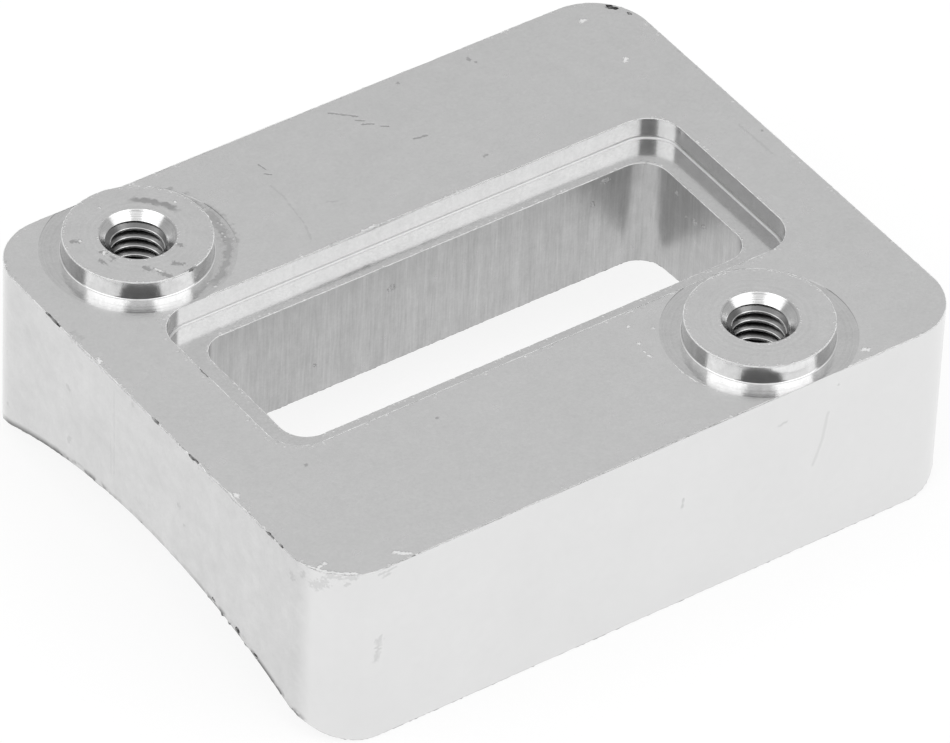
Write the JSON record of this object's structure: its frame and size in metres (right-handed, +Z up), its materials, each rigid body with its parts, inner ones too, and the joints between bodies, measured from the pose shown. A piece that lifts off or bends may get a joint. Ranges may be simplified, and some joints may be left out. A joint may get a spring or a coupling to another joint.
{
  "type": "mass air flow sensor mount plate",
  "caption": "Milled block with a hollow underside that sits on an intake tube, a ledged sensor slot and raised seats with tapped holes.",
  "frame": {"origin": "midway between the two long lower edges, under the middle of the plate", "axes": "+X along the plate and the tube it sits on, +Y across it to the side of the rear screw seat, +Z up out of the flat top"},
  "size_m": [0.0472, 0.0378, 0.0145],
  "materials": {
    "milled_aluminium": "bare, as milled, semi-bright"
  },
  "bodies": {
    "root": {"mount_plate": "milled_aluminium"}
  },
  "joints": []
}
